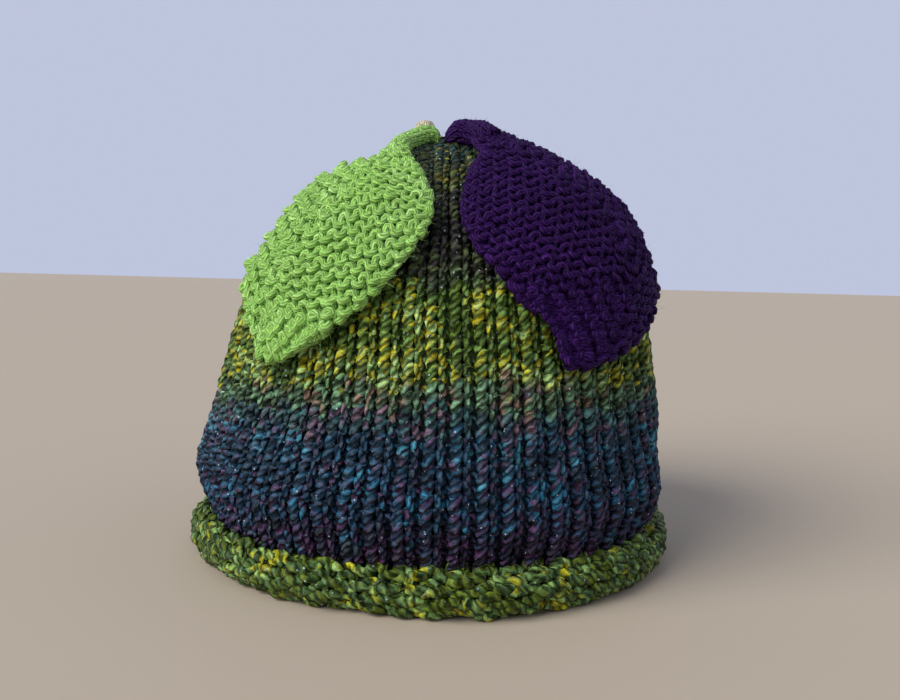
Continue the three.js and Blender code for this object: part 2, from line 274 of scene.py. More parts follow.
class Roll:
    """The rolled hem: a fat round tube that goes round the foot of the dome."""

    start = 78.0  # degrees round the tube where the dome's cloth runs into it

    def cloth(self, lap: np.ndarray, along: np.ndarray) -> np.ndarray:
        """Points of the tube: out from its centre by cosine, up by sine, pressed flat below.

        Args:
            lap: laps round the cloth.
            along: distance round the tube from the crease, outwards and down.

        Returns:
            Points, one for each pair.
        """
        turn = np.radians(-180 + 180 * lap)
        tube = np.radians(self.start) - along / ROLL_RADIUS
        wave = sum(size * np.sin(count * turn) for count, size in HEM_WAVES)
        out = wave + ROLL_RADIUS * (np.cos(tube) - 1)
        z = np.maximum(0.0, ROLL_RADIUS * (1 + np.sin(tube)) - ROLL_SINK)
        x, y = (HEM_WIDTH / 2 + out) * np.cos(turn), (HEM_DEPTH / 2 + out) * np.sin(turn)
        return np.stack([x, y, z], axis=-1)


DOME = Dome()
ROLL = Roll()


# ---- Meshes -------------------------------------------------------------------------------------
SHADES = 4  # colours that a stretch of yarn is dyed with
PLIES = 3
FINE_PLIES = 7  # strands that show in the leaves' soft yarn
MID_PLY = (0.0, 0.5 / PLIES)  # yarn coordinates on top of a ply, for what isn't yarn


@dataclass
class Skin:
    """Vertices, four-sided faces, each vertex's shades and each face corner's yarn coordinates.

    The yarn coordinates are how many times the twist has gone round, and the share of the way
    round the section.
    """

    points: np.ndarray
    faces: np.ndarray
    shades: np.ndarray
    yarn: np.ndarray

    @staticmethod
    def plain(points: np.ndarray, faces: np.ndarray, colours: np.ndarray) -> "Skin":
        """A skin that isn't yarn: one colour at each vertex and no twist."""
        shades = np.repeat(colours[:, None], SHADES, axis=1)
        return Skin(points, faces, shades, np.broadcast_to(MID_PLY, (len(faces), 4, 2)))

    @staticmethod
    def joined(skins: "list[Skin]") -> "Skin":
        """Several skins as one, with the faces' numbers moved on."""
        starts = np.cumsum([0] + [len(s.points) for s in skins[:-1]])
        return Skin(
            np.concatenate([s.points for s in skins]),
            np.concatenate([s.faces + start for s, start in zip(skins, starts)]),
            np.concatenate([s.shades for s in skins]),
            np.concatenate([s.yarn for s in skins]),
        )

    def piece(self, name: str, material: bpy.types.Material) -> bpy.types.Object:
        """The skin as a smooth Blender mesh in metres, with nothing under the floor.

        Args:
            name: the piece's name.
            material: its finish.

        Returns:
            The piece.
        """
        mesh = bpy.data.meshes.new(name)
        points = self.points * METRES
        points[:, 2] = np.maximum(points[:, 2], 0.0)
        count = len(self.faces)
        mesh.vertices.add(len(points))
        mesh.loops.add(4 * count)
        mesh.polygons.add(count)
        mesh.vertices.foreach_set("co", points.astype(np.float32).ravel())
        mesh.loops.foreach_set("vertex_index", self.faces.astype(np.int32).ravel())
        mesh.polygons.foreach_set("loop_start", np.arange(0, 4 * count, 4, dtype=np.int32))
        mesh.polygons.foreach_set("use_smooth", np.ones(count, dtype=bool))
        mesh.update(calc_edges=True)
        yarn = mesh.uv_layers.new(name="yarn")
        yarn.data.foreach_set("uv", self.yarn.astype(np.float32).ravel())
        rgba = np.ones((len(points), 4), dtype=np.float32)
        for number in range(SHADES):
            layer = mesh.color_attributes.new(f"dye_{number + 1}", "BYTE_COLOR", "POINT")
            rgba[:, :3] = self.shades[:, number]
            layer.data.foreach_set("color", rgba.ravel())
        mesh.materials.append(material)
        made = bpy.data.objects.new(name, mesh)
        bpy.context.scene.collection.objects.link(made)
        return made


@dataclass(frozen=True)
class Yarn:
    """A round plied yarn: its radius, the length of one turn of its twist, and its corners."""

    radius: float
    twist: float
    sides: int = 8

    def along(
        self,
        path: np.ndarray,
        normals: np.ndarray,
        fullness: np.ndarray,
        closed: bool,
        dye: "Dye",
    ) -> Skin:
        """The yarn carried along a path: a ring of corners round each point of it.

        Args:
            path: the yarn's centre line.
            normals: the cloth's outward normal at each point.
            fullness: share of the radius at each point.
            closed: whether the path's end joins its start.
            dye: shades of the yarn at each place.

        Returns:
            The yarn's skin.
        """
        after, before = np.roll(path, -1, axis=0), np.roll(path, 1, axis=0)
        if not closed:
            after[-1], before[0] = path[-1], path[0]
        tangent = unit(after - before)
        out = square_to(normals, tangent)
        side = np.cross(tangent, out)
        steps = steps_of(np.concatenate([path, path[:1]]) if closed else path)
        turns = summed(steps) / self.twist
        if closed:
            turns *= max(1, round(turns[-1])) / turns[-1]
        turns += dye.next_length()
        corner = np.arange(self.sides)
        angle = 2 * np.pi * corner / self.sides
        size = self.radius * fullness[:, None, None]
        points = path[:, None] + size * (
            np.cos(angle)[:, None] * out[:, None] + np.sin(angle)[:, None] * side[:, None]
        )
        count = len(path)
        ring = np.arange(len(steps))[:, None]
        following, beside = (ring + 1) % count, (corner + 1) % self.sides
        corners = [(ring, corner), (following, corner), (following, beside), (ring, beside)]
        faces = np.stack([r * self.sides + c for r, c in corners], axis=-1).reshape(-1, 4)
        around = [corner, corner, corner + 1, corner + 1]
        wound = [turns[:-1], turns[1:], turns[1:], turns[:-1]]
        yarn = np.stack([
            np.stack(np.broadcast_arrays(w[:, None], a[None] / self.sides), axis=-1)
            for w, a in zip(wound, around)
        ], axis=2).reshape(-1, 4, 2)
        shades = np.repeat(dye.shades(path), self.sides, axis=0)
        return Skin(points.reshape(-1, 3), faces, shades, yarn)


# ---- Dyes ---------------------------------------------------------------------------------------
def linear(*rgb: int) -> np.ndarray:
    """A display colour of 0 to 255 as linear light, by the usual display curve."""
    c = np.array(rgb) / 255
    return np.where(c <= 0.04045, c / 12.92, ((c + 0.055) / 1.055) ** 2.4)


class Dye:
    """A yarn's colours: at each place four shades, which the finish shares out by SHARES."""

    apart = 97.0  # turns of twist between the starts of two lengths

    def __init__(self, seed: int) -> None:
        """Starts the dye's own run of random numbers."""
        self.random = np.random.default_rng(seed)
        self.lengths = 0

    def next_length(self) -> float:
        """Turns of twist to start the next length of yarn at, so that no two are flecked alike."""
        self.lengths += 1
        return self.apart * self.lengths

    def shades(self, path: np.ndarray) -> np.ndarray:
        """Shades at each point, as points by four by three."""
        raise NotImplementedError


@dataclass(frozen=True)
class Band:
    """A stretch of the variegated yarn, up to a height, with its four shades."""

    top: float
    rgbs: tuple

    def table(self) -> np.ndarray:
        """The shades as linear light."""
        return np.array([linear(*rgb) for rgb in self.rgbs])


BANDS = (
    Band(19, ((51, 44, 63), (84, 50, 86), (49, 57, 84), (56, 72, 82))),
    Band(27, ((36, 41, 62), (74, 47, 82), (42, 52, 80), (36, 84, 112))),
    Band(40, ((26, 47, 68), (30, 74, 102), (70, 47, 80), (40, 110, 140))),
    Band(53, ((28, 52, 71), (36, 81, 106), (72, 57, 84), (54, 121, 142))),
    Band(59, ((40, 63, 70), (64, 108, 106), (76, 67, 86), (112, 90, 102))),
    Band(66, ((56, 77, 54), (112, 153, 114), (75, 97, 73), (124, 100, 82))),
    Band(72, ((69, 92, 34), (88, 122, 72), (164, 158, 24), (160, 196, 120))),
    Band(93, ((74, 97, 29), (98, 132, 60), (170, 162, 25), (160, 194, 114))),
    Band(98, ((44, 54, 34), (66, 84, 46), (98, 122, 78), (60, 54, 48))),
    Band(122, ((34, 32, 34), (42, 48, 34), (58, 52, 52), (66, 76, 44))),
    Band(132, ((44, 50, 32), (60, 70, 38), (84, 96, 48), (104, 98, 30))),
    Band(200, ((58, 70, 26), (40, 68, 64), (38, 48, 44), (134, 130, 34))),
)
GREEN_BAND = Band(0, ((144, 190, 92), (153, 199, 102), (134, 180, 84), (164, 208, 116)))
PURPLE_BAND = Band(0, ((43, 13, 69), (49, 16, 77), (38, 11, 63), (56, 22, 86)))
HEM_BAND = Band(0, ((88, 106, 28), (62, 88, 44), (122, 156, 86), (162, 160, 28)))
CREAM_BAND = Band(0, ((206, 194, 160), (214, 204, 172), (196, 182, 146), (224, 214, 186)))
# Colours of the sheets behind the stitches, darker than the yarns: painted shade in the gaps
# between stitches.
HEM_GAP_SHADE, GREEN_GAP_SHADE, PURPLE_GAP_SHADE = (52, 62, 30), (60, 96, 34), (24, 10, 44)  # backing cloths


class VariegatedDye(Dye):
    """The body's self-striping yarn: its band of colours follows the height on the dome."""

    half_width = 80.0
    sags = (8, 2)  # how much lower the bands lie at the spout's side and the handle's
    ragged, stretch = 1.6, 7  # how much a band's edge jumps, and over how many points

    def shades(self, path: np.ndarray) -> np.ndarray:
        """Shades by height, with ragged band edges that lie lower at the sides.

        Args:
            path: the yarn's centre line.

        Returns:
            Shades at each point, as points by four by three.
        """
        side = path[:, 0] / self.half_width
        spout, handle = self.sags
        sag = spout * np.clip(-side, 0, 1) ** 2 + handle * np.clip(side, 0, 1) ** 2
        jumps = self.random.normal(0, self.ragged, len(path) // self.stretch + 2)
        level = path[:, 2] + sag + jumps[np.arange(len(path)) // self.stretch]
        index = np.searchsorted([band.top for band in BANDS], level)
        return np.array([band.table() for band in BANDS])[np.minimum(index, len(BANDS) - 1)]


class EvenDye(Dye):
    """A yarn with the same four shades all along it."""

    def __init__(self, seed: int, band: Band) -> None:
        """Keeps the yarn's shades."""
        super().__init__(seed)
        self.band = band

    def shades(self, path: np.ndarray) -> np.ndarray:
        """The same shades at every point."""
        return np.broadcast_to(self.band.table(), (len(path), SHADES, 3))


# ---- Finishes -----------------------------------------------------------------------------------
Socket = bpy.types.NodeSocket


class Wiring:
    """Adds nodes to a material, each wired to what it reads."""

    def __init__(self, material: bpy.types.Material) -> None:
        """Takes over a material's node tree.

        Args:
            material: the material to wire.
        """
        material.use_nodes = True
        self.nodes, self.links = material.node_tree.nodes, material.node_tree.links
        self.shader = self.nodes["Principled BSDF"]

    def feed(self, socket: Socket, value: object) -> None:
        """Puts a number on a socket, or wires an output to it."""
        if isinstance(value, Socket):
            self.links.new(value, socket)
        else:
            socket.default_value = value

    def math(self, operation: str, *values: object) -> Socket:
        """A Math node over numbers or outputs.

        Args:
            operation: the node's operation.
            values: what it works on, in order.

        Returns:
            The node's output.
        """
        node = self.nodes.new("ShaderNodeMath")
        node.operation = operation
        for socket, value in zip(node.inputs, values):
            self.feed(socket, value)
        return node.outputs[0]

    def vector(self, *values: object) -> Socket:
        """Three numbers or outputs as a vector.

        Args:
            values: the three parts.

        Returns:
            The vector.
        """
        node = self.nodes.new("ShaderNodeCombineXYZ")
        for socket, value in zip(node.inputs, values):
            self.feed(socket, value)
        return node.outputs[0]

    def scaled(self, colour: object, by: object) -> Socket:
        """A colour times a number.

        Args:
            colour: a colour or an output.
            by: a number or an output.

        Returns:
            The product.
        """
        node = self.nodes.new("ShaderNodeVectorMath")
        node.operation = "SCALE"
        self.feed(node.inputs[0], colour)
        self.feed(node.inputs["Scale"], by)
        return node.outputs[0]

    def mix(self, share: object, first: object, second: object) -> Socket:
        """Two colours mixed by a share of the second.

        Args:
            share: 0 for all the first, 1 for all the second, held between them.
            first: a colour or an output.
            second: the same.

        Returns:
            The mixed colour.
        """
        node = self.nodes.new("ShaderNodeMix")
        node.data_type = "RGBA"
        self.feed(node.inputs["Factor"], share)
        self.feed(node.inputs[6], first)
        self.feed(node.inputs[7], second)
        return node.outputs[2]

    def noise(self, place: object, scale: float, detail: float) -> Socket:
        """Soft noise around 0.5 at a place.

        Args:
            place: where it is read.
            scale: waves in a unit of place.
            detail: finer waves laid over it.

        Returns:
            The noise.
        """
        node = self.nodes.new("ShaderNodeTexNoise")
        node.inputs["Scale"].default_value = scale
        node.inputs["Detail"].default_value = detail
        self.feed(node.inputs["Vector"], place)
        return node.outputs["Fac"]

    def chance(self, first: object, second: object, third: float) -> Socket:
        """An even random number of 0 to 1 for each cell of two numbers' whole parts.

        Args:
            first: a number whose whole part names the cell's column.
            second: the same for its row.
            third: a number that sets this draw apart from others.

        Returns:
            The cell's chance.
        """
        node = self.nodes.new("ShaderNodeTexWhiteNoise")
        cell = self.vector(self.math("FLOOR", first), self.math("FLOOR", second), third)
        self.feed(node.inputs["Vector"], cell)
        return node.outputs["Value"]

    def yarn_place(self) -> tuple:
        """The yarn coordinates: turns of the twist, and share of the way round the section.

        Returns:
            Both coordinates.
        """
        place = self.nodes.new("ShaderNodeUVMap")
        place.uv_map = "yarn"
        parts = self.nodes.new("ShaderNodeSeparateXYZ")
        self.links.new(place.outputs["UV"], parts.inputs[0])
        return parts.outputs[0], parts.outputs[1]

    def dye(self, name: str) -> Socket:
        """A colour attribute of the mesh.

        Args:
            name: the attribute's name.

        Returns:
            Its colour.
        """
        node = self.nodes.new("ShaderNodeAttribute")
        node.attribute_name = name
        return node.outputs["Color"]


SHARES = (0.38, 0.56, 0.74)  # chances past which the second, third and fourth shade show
BLEED = 7.0  # how fast one shade passes into the next
STRAY_SCALE, PATCH_SCALE, PATCH_CONTRAST = 300.0, 95.0, 3.0  # noise in the plies and the dye
PLY_SHIFT = 0.37  # flecks by which each ply's dye runs ahead of the last one's
DYE_DRAW, TONE_DRAW, GLINT_DRAW = 3.5, 8.5, 2.5  # keep the random draws apart
FIBRES_ACROSS, FIBRES_ALONG, FIBRE_DETAIL = 4.0, 8.0, 3.0
FIBRE_CONTRAST, FIBRE_DARKEST, FIBRE_RELIEF = 2.6, -0.3, 0.35
# How wide the painted shade in the grooves between plies is: the more, the wider.
GROOVE_SHADE_WIDTH = 1.4
# Painted highlights: the pale colour drawn in as glints of a glittering thread, and the cells to a
# turn that they fill.
GLINT, GLINT_GRID = (150, 172, 176), 20.0


@dataclass(frozen=True)
class WoolFinish:
    """Plied wool: flecks of dye ply by ply, painted shade in the grooves between plies, fibres
    along them.
    """

    name: str
    plies: int = PLIES
    flecks: float = 3.0  # flecks in one turn of the twist
    # Painted shade: how much the colour is darkened in the grooves between the plies.
    groove_shade: float = 0.78  # how much the grooves darken
    relief: float = 0.0008
    sheen: float = 0.0
    roughness: float = 0.5
    gloss: float = 0.2
    tones: float = 0.35  # how much lighter or darker a fleck may be
    wander: float = 0.45  # how far the plies stray, in plies
    # Painted highlights: share of the yarn drawn pale as glints of its glittering thread.
    glints: float = 0.0  # share of the yarn that glints

    def material(self) -> bpy.types.Material:
        """The finish as procedural nodes on the yarn coordinates.

        Returns:
            The material.
        """
        made = bpy.data.materials.new(self.name)
        wire = Wiring(made)
        shader = wire.shader
        shader.inputs["Roughness"].default_value = self.roughness
        shader.inputs["Sheen Weight"].default_value = self.sheen
        shader.inputs["Sheen Roughness"].default_value = self.roughness
        shader.inputs["Specular IOR Level"].default_value = self.gloss
        turns, around = wire.yarn_place()
        space = wire.nodes.new("ShaderNodeTexCoord").outputs["Object"]
        stray = wire.noise(space, STRAY_SCALE, 1.0)
        stray = wire.math("MULTIPLY_ADD", stray, self.wander, around)
        ply = wire.math("MULTIPLY", wire.math("SUBTRACT", stray, turns), float(self.plies))
        number = wire.math("FLOORED_MODULO", wire.math("FLOOR", ply), float(self.plies))
        fleck = wire.math("MULTIPLY", turns, self.flecks)
        fleck = wire.math("MULTIPLY_ADD", number, PLY_SHIFT, fleck)
        profile = wire.math("ABSOLUTE", wire.math("SINE", wire.math("MULTIPLY", ply, math.pi)))
        strand = wire.vector(wire.math("MULTIPLY", ply, FIBRES_ACROSS),
                             wire.math("MULTIPLY", turns, FIBRES_ALONG), number)
        fibre = wire.noise(strand, 1.0, FIBRE_DETAIL)
        # The dye times painted shade in the grooves and random tones.
        shade = self.painted_shade_and_tone(wire, number, fleck, profile, fibre)
        colour = wire.scaled(self.dyed(wire, space, number, fleck), shade)
        # Painted highlights: a few random cells take the pale glint colour in place of the dye.
        if self.glints:
            grain = wire.chance(wire.math("MULTIPLY", turns, GLINT_GRID),
                                wire.math("MULTIPLY", around, GLINT_GRID), GLINT_DRAW)
            shines = wire.math("GREATER_THAN", grain, 1 - self.glints)
            colour = wire.mix(shines, colour, (*linear(*GLINT), 1))
        wire.feed(shader.inputs["Base Color"], colour)
        bump = wire.nodes.new("ShaderNodeBump")
        bump.inputs["Strength"].default_value = 1.0
        bump.inputs["Distance"].default_value = self.relief
        wire.feed(bump.inputs["Height"], wire.math("MULTIPLY_ADD", fibre, FIBRE_RELIEF, profile))
        wire.links.new(bump.outputs["Normal"], shader.inputs["Normal"])
        return made

    def dyed(self, wire: Wiring, space: Socket, number: Socket, fleck: Socket) -> Socket:
        """The dye: shades passing one into the next by half a fleck's chance and half a patch's.

        Args:
            wire: the material's wiring.
            space: place on the object.
            number: the ply's number.
            fleck: the fleck's number along it.

        Returns:
            The colour.
        """
        patch = wire.noise(space, PATCH_SCALE, 1.0)
        patch = wire.math("MULTIPLY_ADD", patch, PATCH_CONTRAST, (1 - PATCH_CONTRAST) / 2)
        chance = wire.chance(number, fleck, DYE_DRAW)
        chance = wire.math("MULTIPLY", wire.math("ADD", chance, patch), 0.5)
        colour = wire.dye("dye_1")
        for index, share in enumerate(SHARES):
            past = wire.math("MULTIPLY_ADD", chance, BLEED, 0.5 - BLEED * share)
            colour = wire.mix(past, colour, wire.dye(f"dye_{index + 2}"))
        return colour

    def painted_shade_and_tone(self, wire: Wiring, number: Socket, fleck: Socket, profile: Socket,
                  fibre: Socket) -> Socket:
        """How light the yarn is: painted shade in the grooves between plies, uneven by fleck and
        by fibre.

        Args:
            wire: the material's wiring.
            number: the ply's number.
            fleck: the fleck's number along it.
            profile: the ply's height, 0 between two plies and 1 on its top.
            fibre: noise drawn out along the ply.

        Returns:
            What the dye is multiplied by.
        """
        # Painted shade: darker towards the grooves between the plies.
        rounded = wire.math("POWER", profile, GROOVE_SHADE_WIDTH)
        shade = wire.math("MULTIPLY_ADD", rounded, self.groove_shade, 1 - self.groove_shade)
        tone = wire.chance(number, fleck, TONE_DRAW)
        tone = wire.math("MULTIPLY_ADD", tone, 2 * self.tones, 1 - self.tones)
        streak = wire.math("MULTIPLY_ADD", fibre, FIBRE_CONTRAST, FIBRE_DARKEST)
        return wire.math("MULTIPLY", wire.math("MULTIPLY", shade, tone), streak)


@dataclass(frozen=True)
class PaintFinish:
    """A plain matt colour, for the floor."""

    name: str
    rgb: tuple
    roughness: float = 0.7

    def material(self) -> bpy.types.Material:
        """The colour on a Principled shader.

        Returns:
            The material.
        """
        made = bpy.data.materials.new(self.name)
        made.use_nodes = True
        shader = made.node_tree.nodes["Principled BSDF"]
        shader.inputs["Base Color"].default_value = (*linear(*self.rgb), 1)
        shader.inputs["Roughness"].default_value = self.roughness
        return made


# ---- Knitting -----------------------------------------------------------------------------------
class Face(Enum):
    """What stands out of a row of stitches."""

    KNIT = "legs"
    PURL = "heads and feet"
    HEADS = "heads"
    FEET = "feet"


@dataclass(frozen=True)
class Stitch:
    """One loop of yarn: its width is 1, and its height and depth are half sizes in millimetres."""

    bulge: float = 0.165  # in stitch widths
    tall: float = 4.0
    deep: float = 1.3
    steps: int = 12
    square: float = 1.6  # the more, the longer its legs stay level before they dive
    spread: float = 0.0  # how far the legs stand apart, in stitch widths
    uneven: float = 0.0  # how much further out the right leg lies than the left

    def loops(
        self, count: int, first: float, last: float, face: Face
    ) -> tuple[np.ndarray, np.ndarray, np.ndarray]:
        """A row of loops, each of the stitch's shape.

        Args:
            count: stitches in the row.
            first: lap where the row starts.
            last: lap where it ends.
            face: which side shows.

        Returns:
            Lap, height in the row and depth of each point, one row of arrays.
        """
        t = np.linspace(0, count, count * self.steps + 1)
        across, up, out = self.shape(t, face)
        return first + (last - first) * across / count, up, out

    def shape(self, t: np.ndarray, face: Face) -> tuple[np.ndarray, np.ndarray, np.ndarray]:
        """Loops at a phase p: across t + bulge sin 2p + spread sin p, and up by tall cos p.

        Legs stand out by a squared -cos 2p, heads and feet by its opposite, heads alone by cos p
        and feet alone by -cos p.

        Args:
            t: stitches after the row's start.
            face: which side shows.

        Returns:
            Place along the row in stitches, height and depth.
        """
        phase = 2 * np.pi * (t - 0.5)
        across = t + self.bulge * np.sin(2 * phase) + self.spread * np.sin(phase)
        legs = np.tanh(-self.square * np.cos(2 * phase)) / math.tanh(self.square)
        level = {Face.KNIT: legs, Face.PURL: -legs,
                 Face.HEADS: np.cos(phase), Face.FEET: -np.cos(phase)}[face]
        return across, self.tall * np.cos(phase), self.deep * level + self.uneven * np.sin(phase)


def wander(random: np.random.Generator, count: int, points: int, size: float) -> np.ndarray:
    """A random wander: one normal value a stitch, eased from one to the next by half a cosine.

    Args:
        random: where the values come from.
        count: stitches.
        points: values wanted along them.
        size: the values' spread.

    Returns:
        The wander at each point.
    """
    values = random.normal(0, size, count + 1)
    at = np.linspace(0, count, points)
    low = np.minimum(at.astype(int), count - 1)
    ease = 0.5 - 0.5 * np.cos(np.pi * (at - low))
    return values[low] * (1 - ease) + values[low + 1] * ease


def normals_of(surface: Surface, lap: np.ndarray, along: np.ndarray, flip: float) -> np.ndarray:
    """Outward normals of a surface: the cross product of its slopes along its two parameters.

    Args:
        surface: the surface.
        lap: laps round it.
        along: distances up it.
        flip: 1, or -1 where the distance runs down the outside.

    Returns:
        Unit normals.
    """
    lap_step, along_step = 0.004, 0.3
    across = surface(lap + lap_step, along) - surface(lap - lap_step, along)
    up = surface(lap, along + along_step) - surface(lap, along - along_step)
    return unit(np.cross(across, up)) * flip


BODY_YARN = Yarn(radius=1.25, twist=6.8, sides=7)
HEM_YARN = Yarn(radius=1.5, twist=7.6, sides=7)
AROUND = 64  # stitches in a full round of the body
PIECE_FACES = 92_000  # faces that a piece of the body's knitting may have


@dataclass
class KnittedBody:
    """The stockinette dome: closed rounds below and above the slits, and rows between them."""

    rows_apart: float = 4.05
    lowest: float = 1.5  # distance of the first row from the crease
    highest: float = 3.5  # distance of the last row from the crown
    decrease: int = 8  # stitches lost in a round of decreases, and left at the crown
    narrowest: float = 4.6  # width that the stitches keep by losing some
    stitch: Stitch = field(default_factory=lambda: Stitch(
        bulge=0.2, tall=3.5, deep=1.0, spread=0.055, uneven=0.25))
    lopsided: float = 0.12  # how much fuller the right legs are than the yarn
    sunk: float = 2.6  # the yarn's middle under the face
    uneven: tuple = (0.22, 0.16, 0.06)  # wander of the height, the depth and the fullness
    short: float = 1e-3  # laps by which a row stops short of its slit
    under: float = 2.0  # how far under the crease the first row's loops may reach
    below: float = 0.4  # how far below the crown the last row's loops stop

    def stitches_at(self, along: float) -> int:
        """Stitches in the round at a distance up the cloth, by its width and the decreases.

        Args:
            along: distance from the crease.

        Returns:
            The number of stitches in a full round.
        """
        z = DOME.height_at(np.array(along))
        wanted = 2 * math.pi * float(sum(half_widths(z))) / 4 / self.narrowest
        rounds = round(wanted / self.decrease)
        return int(min(AROUND, max(self.decrease, self.decrease * rounds)))

    def row(self, random: np.random.Generator, along: float, first: float, last: float) -> tuple:
        """The centre line of one row's yarn, laid on the dome with small unevenness.

        Args:
            random: the body's run of random numbers.
            along: the row's distance up the cloth.
            first: lap where it starts.
            last: lap where it ends.

        Returns:
            Points, normals and fullness.
        """
        count = int(round(self.stitches_at(along) * (last - first) / 2))
        lap, up, out = self.stitch.loops(count, first, last, Face.KNIT)
        rising, leaning, swelling = self.uneven
        up = up + wander(random, count, len(lap), rising)
        out = out + wander(random, count, len(lap), leaning)
        place = np.clip(along + up, -self.under, DOME.length - self.below)
        normal = normals_of(DOME.cloth, lap, place, 1.0)
        points = DOME.cloth(lap, place) + normal * (out - self.sunk)[:, None]
        swing = np.sin(2 * np.pi * (np.linspace(0, count, len(lap)) - 0.5))
        fullness = 1 + self.lopsided * swing + wander(random, count, len(lap), swelling)
        return points, normal, fullness

    def strips(self) -> list:
        """Every yarn path of the body: closed rounds, and strips worked to and fro at a slit.

        Returns:
            For each path whether it is closed, its points, its normals and its fullness.
        """
        random = np.random.default_rng(SEED)
        done: list = []
        worked: dict = {}
        worked_length = DOME.length - self.lowest - self.highest
        count = round(worked_length / self.rows_apart)
        for index in range(count + 1):
            along = self.lowest + index * worked_length / count
            z = float(DOME.height_at(np.array(along)))
            spout, handle = SPOUT_SLIT.crosses(z), HANDLE_SLIT.crosses(z)
            spans = [(0.0, 1.0), (1.0, 2.0)] if spout else [(1.0, 3.0)] if handle else []
            for span in [key for key in worked if key not in spans]:
                done.append((False, *worked.pop(span)))
            if not spans:
                points, normal, fullness = self.row(random, along, 0.0, 2.0)
                done.append((True, points[:-1], normal[:-1], fullness[:-1]))
            for span in spans:
                made = self.row(random, along, span[0] + self.short, span[1] - self.short)
                if span in worked:
                    made = tuple(part[::-1] if index % 2 else part for part in made)
                    made = tuple(np.concatenate(pair) for pair in zip(worked[span], made))
                elif index % 2:
                    made = tuple(part[::-1] for part in made)
                worked[span] = made
        done.extend((False, *made) for made in worked.values())
        return done

    def build(self, material: bpy.types.Material) -> list:
        """Makes the body's yarns as a few pieces, from the hem up.

        Args:
            material: their finish.

        Returns:
            The pieces.
        """
        dye = VariegatedDye(SEED + 1)
        skins = [BODY_YARN.along(p, n, f, closed, dye) for closed, p, n, f in self.strips()]
        skins.sort(key=lambda skin: float(skin.points[:, 2].mean()))
        groups: list = [[]]
        held = 0
        for skin in skins:
            if held + len(skin.faces) > PIECE_FACES:
                groups.append([])
                held = 0
            groups[-1].append(skin)
            held += len(skin.faces)
        return [Skin.joined(group).piece(f"body_knit_{number + 1}", material)
                for number, group in enumerate(groups)]


@dataclass
class RolledHem:
    """The bottom of the same cloth, rolled outwards so that its purl side shows."""

    lowest: float = 1.0
    rows_apart: float = 4.2
    rows: int = 10
    stitch: Stitch = field(default_factory=lambda: Stitch(bulge=0.2, tall=3.6, deep=1.3))
    sunk: float = 3.0
    fullness: float = 1.04
    uneven: tuple = (0.5, 0.5, 0.13)

    def build(self, material: bpy.types.Material) -> bpy.types.Object:
        """Makes the roll's yarns as one piece.

        Args:
            material: its finish.

        Returns:
            The piece.
        """
        random = np.random.default_rng(SEED + 2)
        dye = EvenDye(SEED + 3, HEM_BAND)
        rising, leaning, swelling = self.uneven
        skins = []
        for index in range(self.rows):
            lap, up, out = self.stitch.loops(AROUND, 0.0, 2.0, Face.PURL)
            up = up + wander(random, AROUND, len(lap), rising)
            out = out + wander(random, AROUND, len(lap), leaning)
            place = self.lowest + index * self.rows_apart + up
            normal = normals_of(ROLL.cloth, lap, place, -1.0)
            points = ROLL.cloth(lap, place) + normal * (out - self.sunk)[:, None]
            fullness = self.fullness + wander(random, AROUND, len(lap), swelling)
            skins.append(HEM_YARN.along(points[:-1], normal[:-1], fullness[:-1], True, dye))
        return Skin.joined(skins).piece("hem_knit", material)


def sheet_of(points: np.ndarray, columns: int, colours: np.ndarray) -> Skin:
    """A thin open skin over a grid of points, given row by row, in one colour or one a point.

    Args:
        points: the grid, one row after another.
        columns: points in a row.
        colours: the colour or colours.

    Returns:
        The skin.
    """
    index = np.arange(len(points)).reshape(-1, columns)
    corners = [index[:-1, :-1], index[:-1, 1:], index[1:, 1:], index[1:, :-1]]
    faces = np.stack(corners, axis=-1).reshape(-1, 4)
    return Skin.plain(points, faces, np.broadcast_to(colours, points.shape))


@dataclass
class GapShadeCloth:
    """The knitting's middle, a thin sheet between the stitches' legs and heads: painted shade in
    the gaps.
    """

    depth: float = 3.2
    # Painted shade: the sheet is the yarn's first shade darkened, so that the gaps between
    # stitches look shaded.
    dark: float = 0.8  # its colour as a share of the yarn's first shade
    short: float = 1.5  # distance from the crown where it ends
    apart: float = 1e-4  # laps by which each half stops short of its neighbour
    dome_rows: int = 64
    dome_columns: int = 60
    rolled: float = 41.0  # distance round the roll that it covers
    roll_rows: int = 20
    roll_columns: int = 121

    def inside(self, surface: Surface, laps: np.ndarray, alongs: np.ndarray, flip: float
               ) -> np.ndarray:
        """Points of a surface at each lap and distance, row by row, sunk along its normals."""
        lap, along = (grid.ravel() for grid in np.meshgrid(laps, alongs))
        return surface(lap, along) - normals_of(surface, lap, along, flip) * self.depth

    def build(self, material: bpy.types.Material) -> bpy.types.Object:
        """Makes front and back halves of the dome, which meet above and below the slits.

        Args:
            material: its finish.

        Returns:
            The piece.
        """
        skins = []
        alongs = np.linspace(0, DOME.length - self.short, self.dome_rows)
        for first in (0.0, 1.0):
            last = first + 1 - self.apart
            laps = np.linspace(first + self.apart, last, self.dome_columns)
            points = self.inside(DOME.cloth, laps, alongs, 1.0)
            # Painted shade in the gaps: the yarn's first shade, darkened.
            colours = VariegatedDye(SEED).shades(points)[:, 0] * self.dark
            skins.append(sheet_of(points, self.dome_columns, colours))
        laps = np.linspace(0, 2, self.roll_columns)
        alongs = np.linspace(0, self.rolled, self.roll_rows)
        points = self.inside(ROLL.cloth, laps, alongs, -1.0)
        # Painted shade in the gaps of the roll.
        skins.append(sheet_of(points, self.roll_columns, linear(*HEM_GAP_SHADE)))
        return Skin.joined(skins).piece("body_cloth", material)


